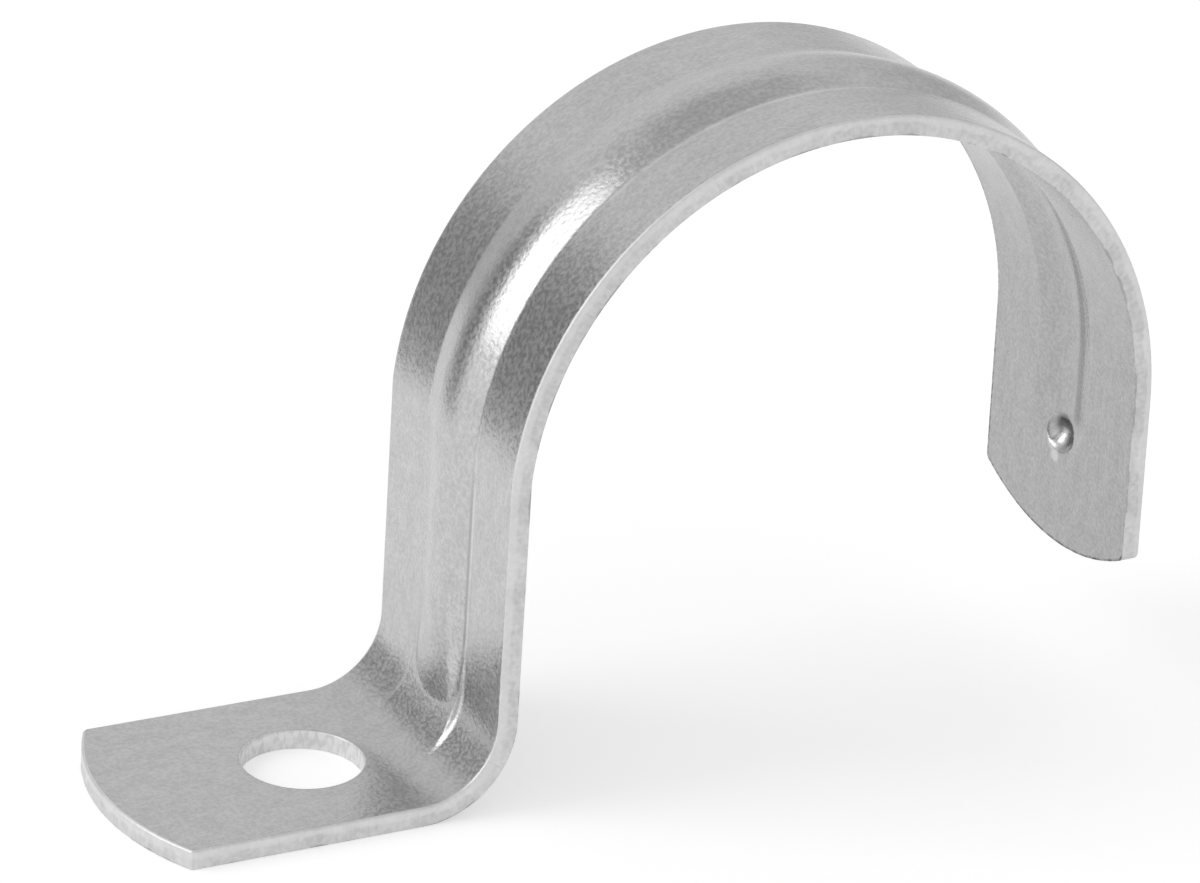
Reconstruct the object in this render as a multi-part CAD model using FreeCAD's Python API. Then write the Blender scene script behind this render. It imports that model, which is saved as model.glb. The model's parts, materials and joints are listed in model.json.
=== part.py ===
import FreeCAD, Part
import math
import os

from FreeCAD import Placement, Rotation, Vector

# One-hole conduit strap: a single strip of zinc-plated sheet steel, blanked, embossed and folded.
# It runs from a flat screw foot, through a foot bend, up a leg, over a round arch that clamps the
# conduit, and down a free leg that stops short of the mounting surface.
# Millimetres. +Z leaves the mounting surface, +X runs from the screw hole towards the conduit, and
# Y is the conduit's direction. The origin is the centre of the screw hole on the foot's underside.

# ---- driving dimensions ----
CONDUIT_R = 22.1          # seat radius, half of a 44.2 mm tube
SHEET_T = 1.3             # sheet thickness
STRIP_W = 17.6            # width of the strip
SEAT_HEIGHT = 21.0        # arch centre above the mounting surface; under CONDUIT_R, so it clamps
LEG_INSET = 0.08          # the anchored leg stands this far inside the seat radius
BEND_R = 5.0              # inside radius of the foot bend
SHOULDER_R = 6.0          # small bend where the straight leg rolls into the arch
FREE_SPLAY = 1.5          # degrees the free leg has sprung open
FREE_CORNER_Z = 10.2      # height of the free leg's corners

HOLE_REACH = 32.75        # arch centre to screw hole
HOLE_D = 7.9              # screw hole
FOOT_REACH = 44.2         # arch centre to the foot's corners
END_ARC_R = 18.0          # both ends are blanked to this convex arc
CORNER_R = 0.5            # corners of the blank
SHARP_R = 0.15            # the foot's near corner, left almost sharp
DIE_ROLL = 0.18           # edge rounding that the shear leaves on the outer face

RIB_HALF = 3.4            # half width of the rib at its foot, on the outer face
RIB_CREST_HALF = 1.75     # half width of its rounded crest
RIB_FLANK = 14.5          # flank slope, degrees
RIB_NOSE_DROP = 3.3       # the rib's rounded end is centred this far below the arch centre
DIMPLE_DROP = 5.3         # punch dimple that closes the rib, below the arch centre
DIMPLE_R = 1.65           # dimple's mouth
DIMPLE_DEPTH = 1.0
FADE_HALF = 3.65          # half width of the low pad that carries the rib round the foot bend
FADE_FLANK = 32.0         # its crisp sides, degrees
FADE_ABOVE = 5.0          # it grows out of the rib's flanks this far above the bend
FADE_ANGLE = 58.0         # and dies out this far round it

# ---- derived places, with the arch centre on the line x = HOLE_REACH ----
ARCH_X = HOLE_REACH
LEG_X = ARCH_X - CONDUIT_R + LEG_INSET          # conduit side of the anchored leg
BEND_X = LEG_X - SHEET_T - BEND_R               # bend centre
BEND_Z = SHEET_T + BEND_R
SHOULDER_X = LEG_X + SHOULDER_R
SHOULDER_Z = SEAT_HEIGHT + math.sqrt((CONDUIT_R - SHOULDER_R) ** 2 - (ARCH_X - SHOULDER_X) ** 2)
SHOULDER_TURN = math.degrees(math.atan2(SHOULDER_Z - SEAT_HEIGHT, ARCH_X - SHOULDER_X))
ARCH_TURN = 180.0 - SHOULDER_TURN - FREE_SPLAY
ROOT = 0.2                                      # how far emboss tools overlap the sheet
EPS = 0.01


def rib_height(half, crest_half):
    """Height of a rib whose straight flanks meet a tangent crest arc."""
    slope = math.radians(RIB_FLANK)
    return (half - crest_half) * math.tan(slope) + crest_half * math.tan(slope / 2)


RIB_H = rib_height(RIB_HALF, RIB_CREST_HALF)


class Station:
    """A place on the strip: a point on its conduit-side face and the heading along the strip."""

    def __init__(self, x, z, heading):
        self.point = Vector(x, 0, z)
        self.heading = heading
        a = math.radians(heading)
        self.along = Vector(math.cos(a), 0, math.sin(a))
        self.out = Vector(-math.sin(a), 0, math.cos(a))

    def place(self, shape):
        """Move a section drawn in the YZ plane (Y across, Z outward) to this station."""
        moved = shape.copy()
        moved.Placement = Placement(self.point, Rotation(Vector(0, -1, 0), self.heading))
        return moved


def stations():
    """Where each run of the strip begins, from the foot bend to the free leg."""
    arch_start = math.radians(180 - SHOULDER_TURN)
    free_start = math.radians(FREE_SPLAY)
    return {
        "bend": Station(BEND_X, 0, 0),
        "leg": Station(LEG_X, BEND_Z, 90),
        "shoulder": Station(LEG_X, SHOULDER_Z, 90),
        "arch": Station(ARCH_X + CONDUIT_R * math.cos(arch_start),
                        SEAT_HEIGHT + CONDUIT_R * math.sin(arch_start), 90 - SHOULDER_TURN),
        "free": Station(ARCH_X + CONDUIT_R * math.cos(free_start),
                        SEAT_HEIGHT + CONDUIT_R * math.sin(free_start), -90 + FREE_SPLAY),
    }


RUN = stations()


def run_straight(section, station, start, end):
    """Extrude a section along the strip, from one distance past the station to another."""
    face = station.place(section)
    face.translate(station.along * start)
    return face.extrude(station.along * (end - start))


def run_round(section, station, centre_x, centre_z, turn):
    """Revolve a section about a bend line. Positive turn folds towards the outer face."""
    return station.place(section).revolve(Vector(centre_x, 0, centre_z), Vector(0, -1, 0), turn)


def over_the_arch(section):
    """The runs a section makes through the shoulder and the arch."""
    return [
        run_round(section, RUN["shoulder"], SHOULDER_X, SHOULDER_Z, -SHOULDER_TURN),
        run_round(section, RUN["arch"], ARCH_X, SEAT_HEIGHT, -ARCH_TURN),
    ]


def join(shapes):
    return shapes[0].multiFuse(shapes[1:]).removeSplitter()


def sheet_section():
    corners = [Vector(0, -STRIP_W / 2, 0), Vector(0, STRIP_W / 2, 0),
               Vector(0, STRIP_W / 2, SHEET_T), Vector(0, -STRIP_W / 2, SHEET_T)]
    return Part.Face(Part.makePolygon(corners + corners[:1]))


def tab(reach, near_r, far_r):
    """A flat end of the blank, drawn along +X with its conduit side down: parallel sides to the
    corners, then a convex arc."""
    half = STRIP_W / 2
    tip = reach + END_ARC_R - math.sqrt(END_ARC_R ** 2 - half ** 2)
    end = Part.Arc(Vector(reach, -half, 0), Vector(tip, 0, 0), Vector(reach, half, 0)).toShape()
    sides = Part.makePolygon([Vector(reach, half, 0), Vector(0, half, 0),
                              Vector(0, -half, 0), Vector(reach, -half, 0)])
    plate = Part.Face(Part.Wire(Part.__sortEdges__([end] + sides.Edges)))
    plate = plate.extrude(Vector(0, 0, SHEET_T))
    for side, radius in ((-half, near_r), (half, far_r)):
        corner = [e for e in plate.Edges
                  if abs(e.CenterOfMass.x - reach) < EPS and abs(e.CenterOfMass.y - side) < EPS]
        plate = plate.makeFillet(radius, corner)
    return plate


def foot_plate():
    """The foot, from the bend out to its arc end. Its underside is the mounting face."""
    plate = tab(FOOT_REACH - (ARCH_X - BEND_X), CORNER_R, SHARP_R)
    plate.rotate(Vector(0, 0, 0), Vector(0, 0, 1), 180)
    plate.translate(Vector(BEND_X, 0, 0))
    return plate


def free_plate():
    """The straight free leg, from the end of the arch down to its arc end."""
    start = RUN["free"]
    plate = tab((start.point.z - FREE_CORNER_Z) / -start.along.z, CORNER_R, CORNER_R)
    plate.Placement = Placement(start.point, Rotation(Vector(0, -1, 0), start.heading))
    return plate


def folded_strip():
    runs = [foot_plate(), run_round(sheet_section(), RUN["bend"], BEND_X, BEND_Z, 90)]
    runs.append(run_straight(sheet_section(), RUN["leg"], 0, SHOULDER_Z - BEND_Z))
    runs += over_the_arch(sheet_section())
    runs.append(free_plate())
    return join(runs)


def on_outer_outline(edge):
    """True for the edges that bound the outer face: both long sides and both arc ends."""
    mid = edge.valueAt((edge.FirstParameter + edge.LastParameter) / 2)
    from_arch = Vector(mid.x - ARCH_X, 0, mid.z - SEAT_HEIGHT).Length
    beyond_foot = mid.x < ARCH_X - FOOT_REACH + CORNER_R
    beyond_free = mid.x > ARCH_X and mid.z < FREE_CORNER_Z + CORNER_R
    if not (beyond_foot or beyond_free or abs(mid.y) > STRIP_W / 2 - EPS):
        return False
    if mid.x < BEND_X + EPS:
        return mid.z > SHEET_T - EPS
    if mid.z < BEND_Z and mid.x < ARCH_X:
        return Vector(mid.x - BEND_X, 0, mid.z - BEND_Z).Length < BEND_R + EPS
    if mid.z < SHOULDER_Z and mid.x < ARCH_X:
        return mid.x < LEG_X - SHEET_T + EPS
    if mid.z < SEAT_HEIGHT and mid.x > ARCH_X:
        return (mid - RUN["free"].point).dot(RUN["free"].out) > SHEET_T - EPS
    return from_arch > CONDUIT_R + SHEET_T - 0.1


def die_rolled(strip):
    """Round the outer outline, as the shear does on the face it enters."""
    edges = [e for e in strip.Edges if on_outer_outline(e) and e.Length > 10 * EPS]
    return strip.makeFillet(DIE_ROLL, edges)


def rib_section(half, crest_half, foot):
    """Rib profile: straight flanks through (+-half, foot) and a tangent crest arc. The flanks run on
    past the foot by ROOT, so the tool crosses the sheet's face instead of touching it."""
    slope = math.radians(RIB_FLANK)
    crest = foot + rib_height(half, crest_half)
    shoulder = foot + (half - crest_half) * math.tan(slope)
    spread = half + ROOT / math.tan(slope)
    low = foot - ROOT
    wire = Part.Wire([
        Part.makeLine(Vector(0, -spread, low), Vector(0, -crest_half, shoulder)),
        Part.Arc(Vector(0, -crest_half, shoulder), Vector(0, 0, crest),
                 Vector(0, crest_half, shoulder)).toShape(),
        Part.makeLine(Vector(0, crest_half, shoulder), Vector(0, spread, low)),
        Part.makeLine(Vector(0, spread, low), Vector(0, -spread, low)),
    ])
    return Part.Face(wire)


def outer_rib_section():
    return rib_section(RIB_HALF, RIB_CREST_HALF, SHEET_T)


def groove_section():
    """The same fold seen from the conduit side: the outer profile offset inward by the sheet."""
    slope = math.radians(RIB_FLANK)
    half = RIB_HALF - SHEET_T * math.tan(slope / 2)
    crest_half = RIB_CREST_HALF - SHEET_T * math.sin(slope)
    return rib_section(half, crest_half, 0)


def nose(section, station, distance):
    """Half of the section turned about the strip's normal: the rounded end of a rib."""
    half = section.common(Part.makeBox(2, STRIP_W, 4 * SHEET_T, Vector(-1, 0, -2 * SHEET_T)))
    turned = half.revolve(Vector(0, 0, 0), Vector(0, 0, 1), 360)
    placed = station.place(turned)
    placed.translate(station.along * distance)
    return placed


def emboss(section, below_bend):
    """A rib or groove from the foot bend to the nose on the free leg. It runs straight down past the
    start of the bend, so the bend's own curve closes its lower end."""
    nose_at = (RUN["free"].point.z - (SEAT_HEIGHT - RIB_NOSE_DROP)) / -RUN["free"].along.z
    runs = [run_straight(section, RUN["leg"], -below_bend, SHOULDER_Z - BEND_Z)]
    runs += over_the_arch(section)
    runs.append(run_straight(section, RUN["free"], 0, nose_at))
    runs.append(nose(section, RUN["free"], nose_at))
    return join(runs)


def dimple(radius_growth):
    """Punch mark that closes the rib: one ball, or the same ball grown by the sheet outside."""
    ball = (DIMPLE_R ** 2 + DIMPLE_DEPTH ** 2) / (2 * DIMPLE_DEPTH)
    free = RUN["free"]
    distance = (free.point.z - (SEAT_HEIGHT - DIMPLE_DROP)) / -free.along.z
    centre = free.point + free.along * distance + free.out * (DIMPLE_DEPTH - ball)
    return Part.makeSphere(ball + radius_growth, centre)


def outer_dimple():
    """The bump that the dimple raises, kept clear of the conduit side."""
    free = RUN["free"]
    slab = Part.makeBox(40, STRIP_W, 8, Vector(0, -STRIP_W / 2, SHEET_T / 2))
    return dimple(SHEET_T).common(free.place(slab))


def fade_wire(above, angle, height):
    """One section of the foot pad, above the bend or part of the way round it. A negative height
    leaves the section inside the sheet."""
    slope = math.tan(math.radians(FADE_FLANK))
    foot = FADE_HALF + ROOT / slope
    top = FADE_HALF - height / slope
    corners = [Vector(0, -foot, SHEET_T - ROOT), Vector(0, -top, SHEET_T + height),
               Vector(0, top, SHEET_T + height), Vector(0, foot, SHEET_T - ROOT)]
    wire = RUN["leg"].place(Part.makePolygon(corners + corners[:1]))
    wire.translate(Vector(0, 0, above))
    wire.rotate(Vector(BEND_X, 0, BEND_Z), Vector(0, 1, 0), angle)
    return wire


def foot_fade():
    """Where the rib dies out: a low pad with crisp sides that thins to nothing round the bend."""
    steps = [(FADE_ABOVE, 0, -0.05), (FADE_ABOVE / 2, 0, 0.12), (0, 0, 0.30), (0, 18, 0.36),
             (0, 38, 0.20), (0, FADE_ANGLE, -0.02)]
    return Part.makeLoft([fade_wire(*step) for step in steps], True, False)


def screw_hole():
    drill = Part.makeCylinder(HOLE_D / 2, 3 * SHEET_T, Vector(0, 0, -SHEET_T))
    return drill


def strap():
    strip = die_rolled(folded_strip())
    outside = emboss(outer_rib_section(), 3.0)
    inside = emboss(groove_section(), 4.5)
    body = strip.fuse(outside).fuse(outer_dimple()).fuse(foot_fade())
    body = body.cut(inside).cut(dimple(0)).cut(screw_hole())
    return body.removeSplitter()


os.makedirs("parts", exist_ok=True)
shape = strap()
shape.exportStep("parts/strap.step")
print("strap: solids", len(shape.Solids), "valid", shape.isValid(), "faces", len(shape.Faces))
print("volume mm3", round(shape.Volume, 1), "steel mass g", round(shape.Volume * 7.85e-3, 1))
box = shape.BoundBox
print("box", [round(v, 2) for v in (box.XMin, box.XMax, box.YMin, box.YMax, box.ZMin, box.ZMax)])
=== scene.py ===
# %% [markdown]
# A one-hole conduit strap: one strip of zinc-plated sheet steel with a flat screw foot, a foot bend, a
# leg, a round arch that clamps the conduit and a short free leg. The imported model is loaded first. It
# holds the strap at its real size, and everything below is placed from it. Lengths are in metres.

# %% Load the frame
import json
import math

import bmesh
import bpy
from mathutils import Matrix, Vector

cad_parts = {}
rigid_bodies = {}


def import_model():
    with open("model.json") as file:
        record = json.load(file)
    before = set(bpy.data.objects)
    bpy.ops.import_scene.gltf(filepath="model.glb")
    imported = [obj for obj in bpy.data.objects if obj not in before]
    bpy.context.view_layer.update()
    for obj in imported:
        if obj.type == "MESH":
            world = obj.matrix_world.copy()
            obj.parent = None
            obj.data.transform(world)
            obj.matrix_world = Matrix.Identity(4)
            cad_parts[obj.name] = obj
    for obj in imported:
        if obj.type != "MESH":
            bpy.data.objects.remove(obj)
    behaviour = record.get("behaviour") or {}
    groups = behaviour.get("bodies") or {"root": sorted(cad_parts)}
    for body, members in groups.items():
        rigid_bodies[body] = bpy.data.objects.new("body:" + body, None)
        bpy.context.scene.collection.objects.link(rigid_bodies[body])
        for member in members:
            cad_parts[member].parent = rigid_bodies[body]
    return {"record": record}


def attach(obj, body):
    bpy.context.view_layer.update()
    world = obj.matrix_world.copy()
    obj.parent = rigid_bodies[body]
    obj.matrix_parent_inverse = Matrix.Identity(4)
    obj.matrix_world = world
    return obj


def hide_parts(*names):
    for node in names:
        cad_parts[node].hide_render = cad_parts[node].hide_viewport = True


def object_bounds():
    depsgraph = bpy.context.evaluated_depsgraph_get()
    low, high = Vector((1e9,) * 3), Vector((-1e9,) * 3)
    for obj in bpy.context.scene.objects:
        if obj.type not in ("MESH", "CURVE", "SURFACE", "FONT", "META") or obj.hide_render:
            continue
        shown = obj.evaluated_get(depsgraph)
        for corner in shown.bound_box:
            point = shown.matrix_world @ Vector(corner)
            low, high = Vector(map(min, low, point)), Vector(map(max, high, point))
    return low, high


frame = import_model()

MM = 0.001
LOW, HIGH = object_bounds()
print("CAD box", [round(v / MM, 2) for v in LOW], [round(v / MM, 2) for v in HIGH])

# %% [markdown]
# The mounts in the record already say the sizes that matter: the hole's radius, the sheet's thickness
# (the hole's length), the seat's radius and centre, and the strip's width (the seat's length). The
# other folding sizes are named here, as a toolmaker's drawing would give them.

# %% The strap's sizes
MOUNTS = {m["name"]: m for m in frame["record"]["mounts"]}
HOLE_R = MOUNTS["screw_hole"]["dims"]["r_mm"] * MM
SHEET_T = MOUNTS["screw_hole"]["dims"]["length_mm"] * MM
SEAT_R = MOUNTS["conduit_seat"]["dims"]["r_mm"] * MM
STRIP_W = MOUNTS["conduit_seat"]["dims"]["length_mm"] * MM
ARCH_X, _, ARCH_Z = MOUNTS["conduit_seat"]["pos_m"]

BEND_R = 5.0 * MM          # inside radius of the foot bend
LEG_INSET = 0.08 * MM      # the leg stands this far inside the seat radius
SHOULDER_R = 6.0 * MM      # small bend between the leg and the arch
FREE_SPLAY = math.radians(1.5)
FREE_CORNER_Z = 10.2 * MM  # height of the free leg's corners
END_ARC_R = 18.0 * MM      # both ends of the blank
DIE_ROLL = 0.18 * MM       # rounding that the shear leaves on the outer face
print("hole, sheet, seat, strip:", [round(v / MM, 2) for v in (HOLE_R, SHEET_T, SEAT_R, STRIP_W)], "mm")

# %% [markdown]
# The strip is one path of straight runs and bends along its conduit side. Each run knows its length on
# the flat blank and how far it turns, so the blank can be drawn flat first and folded afterwards.

# %% The folding plan
LEG_X = ARCH_X - SEAT_R + LEG_INSET
BEND_X = LEG_X - SHEET_T - BEND_R
BEND_Z = SHEET_T + BEND_R
FOLD_R = BEND_R + SHEET_T  # the conduit side is the outside of the foot bend
shoulder_rise = math.sqrt((SEAT_R - SHOULDER_R) ** 2 - (ARCH_X - LEG_X - SHOULDER_R) ** 2)
shoulder_turn = math.atan2(shoulder_rise, ARCH_X - LEG_X - SHOULDER_R)
arch_turn = math.pi - shoulder_turn - FREE_SPLAY
free_top_z = ARCH_Z + SEAT_R * math.sin(FREE_SPLAY)
END_BULGE = END_ARC_R - math.sqrt(END_ARC_R**2 - (STRIP_W / 2) ** 2)

RUNS = [  # name, length on the blank, turn (left is towards the outer face)
    ("foot", BEND_X - LOW.x, 0.0),
    ("bend", FOLD_R * math.pi / 2, math.pi / 2),
    ("leg", ARCH_Z + shoulder_rise - BEND_Z, 0.0),
    ("shoulder", SHOULDER_R * shoulder_turn, -shoulder_turn),
    ("arch", SEAT_R * arch_turn, -arch_turn),
    ("free", (free_top_z - FREE_CORNER_Z) / math.cos(FREE_SPLAY) + END_BULGE, 0.0),
]
START = {}
reached = 0.0
for name, length, turn in RUNS:
    START[name] = reached
    reached += length
BLANK_LENGTH = reached
HOLE_S = -LOW.x
print("flat blank", round(BLANK_LENGTH / MM, 2), "mm long")
print("runs start at", {name: round(s / MM, 2) for name, s in START.items()})

# %% [markdown]
# Most tools act on whatever is selected, and loading leaves the CAD node selected. A few small helpers
# keep that in hand: they clear the selection, enter edit mode on one piece, and select by a test on
# place or normal.

# %% Selection helpers
TINY = 1e-6                # places closer than a micrometre are the same


def deselect_all():
    for other in bpy.context.view_layer.objects:
        other.select_set(False)


def edit(piece, mode):
    """Enter edit mode on one piece with nothing else selected."""
    deselect_all()
    piece.select_set(True)
    bpy.context.view_layer.objects.active = piece
    bpy.ops.object.mode_set(mode="EDIT")
    bpy.ops.mesh.select_mode(type=mode)
    bpy.ops.mesh.select_all(action="DESELECT")


def select_where(piece, kind, test):
    """Select the vertices, edges or faces that pass a test, and nothing else. Returns how many."""
    bpy.ops.mesh.select_all(action="DESELECT")
    shape = bmesh.from_edit_mesh(piece.data)
    chosen = [item for item in getattr(shape, kind) if test(item)]
    for item in chosen:
        item.select_set(True)
    shape.select_flush_mode()
    bmesh.update_edit_mesh(piece.data)
    return len(chosen)


def object_mode():
    bpy.ops.object.mode_set(mode="OBJECT")


def apply_modifier(piece, kind, **settings):
    """Add a modifier, set it up and apply it."""
    modifier = piece.modifiers.new(kind.lower(), kind)
    for key, value in settings.items():
        setattr(modifier, key, value)
    bpy.context.view_layer.objects.active = piece
    bpy.ops.object.modifier_apply(modifier=modifier.name)


# %% [markdown]
# The blank starts as one narrow cell at the foot's end. Rows across it are cut with Bisect where the
# rib's creases will run, close together there and wide apart on the plain flanges, because a crease is
# only as crisp as the rows that carry it.

# %% First cell of the blank
RIB_HALF = 3.4 * MM        # half width of the rib at its foot, on the outer face
RIB_CREST_HALF = 1.75 * MM
PAD_HALF = 3.65 * MM       # half width of the pad that carries the rib round the foot bend
END_STRIP = 0.35 * MM      # narrow row along each end, so that the rounded edge stays narrow
ROWS_MM = [  # from the middle out: the crest, its tangents, the flank, the root, the pad, the flange
    0, 0.2, 0.4, 0.6, 0.8, 1.0, 1.2, 1.4, 1.58, 1.75, 1.92, 2.1, 2.3, 2.5, 2.7, 2.9, 3.06, 3.18,
    3.25, 3.30, 3.36, 3.42, 3.47, 3.56, 3.65, 3.75, 3.95, 4.4, 5.3, 6.4, 7.6, 8.45,
]

deselect_all()
bpy.ops.mesh.primitive_plane_add(size=1.0, location=(0, 0, 0))
strip = bpy.context.object
strip.name = "strap_strip"
edit(strip, "VERT")
bpy.ops.mesh.select_all(action="SELECT")
bpy.ops.transform.resize(value=(END_STRIP, STRIP_W, 1.0), center_override=(0, 0, 0))
bpy.ops.transform.translate(value=(END_STRIP / 2, 0, 0))
for y in sorted({side * row * MM for row in ROWS_MM for side in (-1, 1)}):
    bpy.ops.mesh.select_all(action="SELECT")
    bpy.ops.mesh.bisect(plane_co=(0, y, 0), plane_no=(0, 1, 0))
object_mode()
print("rows across the strip:", len(strip.data.polygons))

# %% [markdown]
# The rest is pulled out of that cell as strip comes off a coil: the free edge is extruded again and
# again along the length. Steps are short where the sheet will bend tightly or the rib ends, and long
# where it stays flat. Extruding keeps every row straight and every cell four-sided.

# %% Pull out the strip
SQUARE = 4.38 * MM         # half of the square round the screw hole
FINE_UP_TO = 5.5 * MM      # fine rows reach this far up the leg, past the rib's run-out
NOSE_DROP = 3.3 * MM       # the rib's rounded end, below the arch centre
DIMPLE_DROP = 5.3 * MM     # the punch mark that closes the rib
NOSE_S = START["free"] + (free_top_z - ARCH_Z + NOSE_DROP) / math.cos(FREE_SPLAY)
DIMPLE_S = START["free"] + (free_top_z - ARCH_Z + DIMPLE_DROP) / math.cos(FREE_SPLAY)

STOPS = [  # reach this place along the blank in this many steps
    (END_BULGE + 1.2 * MM, 1), (HOLE_S - SQUARE, 4), (HOLE_S + SQUARE, 20), (START["bend"], 1),
    (START["leg"], 80), (START["leg"] + FINE_UP_TO, 24), (START["shoulder"], 10), (START["arch"], 2),
    (START["free"], 84), (NOSE_S - 1.0 * MM, 4), (DIMPLE_S + 2.6 * MM, 40),
    (BLANK_LENGTH - END_BULGE - 1.0 * MM, 2), (BLANK_LENGTH - END_STRIP, 1), (BLANK_LENGTH, 1),
]
edit(strip, "EDGE")
here = END_STRIP
select_where(strip, "edges", lambda e: all(v.co.x > here - TINY for v in e.verts))
for stop, steps in STOPS:
    step = (stop - here) / steps
    for _ in range(steps):
        bpy.ops.mesh.extrude_edges_move(TRANSFORM_OT_translate={"value": (step, 0, 0)})
    here = stop
object_mode()
print("cells on the blank:", len(strip.data.polygons))

# %% [markdown]
# Both ends are blanked to a wide convex arc. The last two columns at each end are still straight, so
# each of their points is slid along the strip by the arc's drop at its own row. The four corners are
# then rounded with a vertex bevel; the foot's near corner is left almost sharp.

# %% Arc ends and corners
def arc_drop(y):
    """How far the end's arc lies behind its tip, at y across the strip."""
    return END_ARC_R - math.sqrt(END_ARC_R**2 - y**2)


near_end = END_STRIP * 1.01    # takes in both columns
edit(strip, "VERT")
for row in sorted({round(v.co.y, 7) for v in bmesh.from_edit_mesh(strip.data).verts}):
    for end, way in ((0.0, 1), (BLANK_LENGTH, -1)):
        select_where(strip, "verts", lambda v: abs(v.co.y - row) < TINY and abs(v.co.x - end) < near_end)
        bpy.ops.transform.translate(value=(way * arc_drop(row), 0, 0))
SHARP_CUT, ROUND_CUT = 0.09 * MM, 0.29 * MM
CORNERS = [  # along the blank, side, how much the bevel cuts back
    (END_BULGE, -1, SHARP_CUT), (END_BULGE, 1, ROUND_CUT),
    (BLANK_LENGTH - END_BULGE, -1, ROUND_CUT), (BLANK_LENGTH - END_BULGE, 1, ROUND_CUT),
]
for x, side, cut in CORNERS:
    spot = Vector((x, side * STRIP_W / 2, 0))
    select_where(strip, "verts", lambda v: (v.co - spot).length < 0.01 * MM)
    bpy.ops.mesh.bevel(affect="VERTICES", offset=cut, segments=5, profile=0.5)
object_mode()
print("blank is", [round(v / MM, 2) for v in strip.dimensions])

# %% [markdown]
# The screw hole is punched in the flat foot. The cells inside a square are deleted, the square's rim is
# extruded in place, and To Sphere turns the new rim into a circle, which is scaled to the hole's
# radius. A second ring just outside it keeps the hole's own edge narrow.

# %% Screw hole
HOLE = Vector((HOLE_S, 0, 0))
SQUARE_SIDE = 4.4 * MM     # the row that bounds the square across the strip
RING = 0.2 * MM            # width of the ring round the hole


def in_square(point, spare=-TINY):
    return abs(point.x - HOLE_S) < SQUARE + spare and abs(point.y) < SQUARE_SIDE + spare


def ring_mean(piece):
    """Mean distance of the selected points from the hole's centre."""
    chosen = [v.co for v in bmesh.from_edit_mesh(piece.data).verts if v.select]
    return sum((p - HOLE).length for p in chosen) / len(chosen)


edit(strip, "FACE")
select_where(strip, "faces", lambda f: in_square(f.calc_center_median()))
bpy.ops.mesh.delete(type="FACE")
bpy.ops.mesh.select_mode(type="EDGE")
select_where(strip, "edges", lambda e: e.is_boundary and all(in_square(v.co, TINY) for v in e.verts))
for radius in (HOLE_R + RING, HOLE_R):
    bpy.ops.mesh.extrude_edges_move(TRANSFORM_OT_translate={"value": (0, 0, 0)})
    bpy.ops.transform.tosphere(value=1.0, center_override=HOLE)
    grow = radius / ring_mean(strip)
    bpy.ops.transform.resize(value=(grow, grow, 1), center_override=HOLE)
object_mode()
print("hole rim points:", sum(abs((v.co - HOLE).length - HOLE_R) < TINY for v in strip.data.vertices))

# %% [markdown]
# Solidify gives the sheet its thickness. It grows upwards from the flat drawing, so z = 0 stays the
# conduit side. The shear and the punch both pull the sheet down a little where they enter, which the
# bevel on the outer rim shows: a wider one round the outline, a finer one round the hole.

# %% Thickness and die roll
HOLE_ROLL = 0.09 * MM
apply_modifier(strip, "SOLIDIFY", thickness=SHEET_T, offset=1.0)
edit(strip, "EDGE")


def from_hole(point):
    """Distance from the hole's axis on the flat blank."""
    return (Vector((point.x, point.y, 0)) - HOLE).length


def outer_rim(edge, at_hole):
    """True where the upper face meets a cut face, at the hole or at the outline."""
    if any(abs(v.co.z - SHEET_T) > TINY for v in edge.verts):
        return False
    flat_faces = sum(abs(face.normal.z) > 0.5 for face in edge.link_faces)
    near_hole = max(from_hole(v.co) for v in edge.verts) < HOLE_R + RING / 2
    return flat_faces == 1 and near_hole == at_hole


for at_hole, roll in ((False, DIE_ROLL), (True, HOLE_ROLL)):
    bpy.ops.mesh.select_mode(type="EDGE")
    found = select_where(strip, "edges", lambda e: outer_rim(e, at_hole))
    bpy.ops.mesh.bevel(affect="EDGES", offset=roll, segments=3, profile=0.5, clamp_overlap=False)
    print("rim edges rolled:", found)
bpy.ops.mesh.select_all(action="SELECT")
bpy.ops.mesh.normals_make_consistent(inside=False)
object_mode()

# %% [markdown]
# Grain and scratches must follow the sheet round its bends. So before anything is folded, each point
# stores where it lies on the flat blank: along, across and through the sheet, in millimetres. It also
# stores how far it is from the nearest cut edge, where handling marks collect.

# %% Remember the flat blank
flat = [v.co.copy() for v in strip.data.vertices]
NEAR_END = 6 * MM          # within this of a tip, the end's arc counts as an edge


def to_cut_edge(co):
    """Distance on the flat blank to the nearest sheared or punched edge."""
    gaps = [STRIP_W / 2 - abs(co.y), from_hole(co) - HOLE_R]
    for centre, way in ((END_ARC_R, -1), (BLANK_LENGTH - END_ARC_R, 1)):
        if (co.x - centre) * way > END_ARC_R - NEAR_END:
            gaps.append(END_ARC_R - math.hypot(co.x - centre, co.y))
    return max(0.0, min(gaps))


strip.data.attributes.new("blank", "FLOAT_VECTOR", "POINT")
strip.data.attributes.new("rim", "FLOAT", "POINT")
# both are fetched once both exist, because adding one moves the other
blank_place, rim_distance = strip.data.attributes["blank"], strip.data.attributes["rim"]
for i, co in enumerate(flat):
    blank_place.data[i].vector = co / MM
    rim_distance.data[i].value = to_cut_edge(co) / MM
for face in strip.data.polygons:
    face.material_index = int(abs(face.normal.z) < 0.98)  # slot 1 is the cut edges' finish
print("cut-edge faces:", sum(face.material_index for face in strip.data.polygons))

# %% [markdown]
# The stiffening rib is pressed into the strip. Its section has straight flanks and a rounded crest. It
# is written once as a height over the sheet, and the same section, offset by the sheet, gives the
# groove on the conduit side.

# %% The rib's section
RIB_FLANK = math.radians(14.5)


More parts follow.
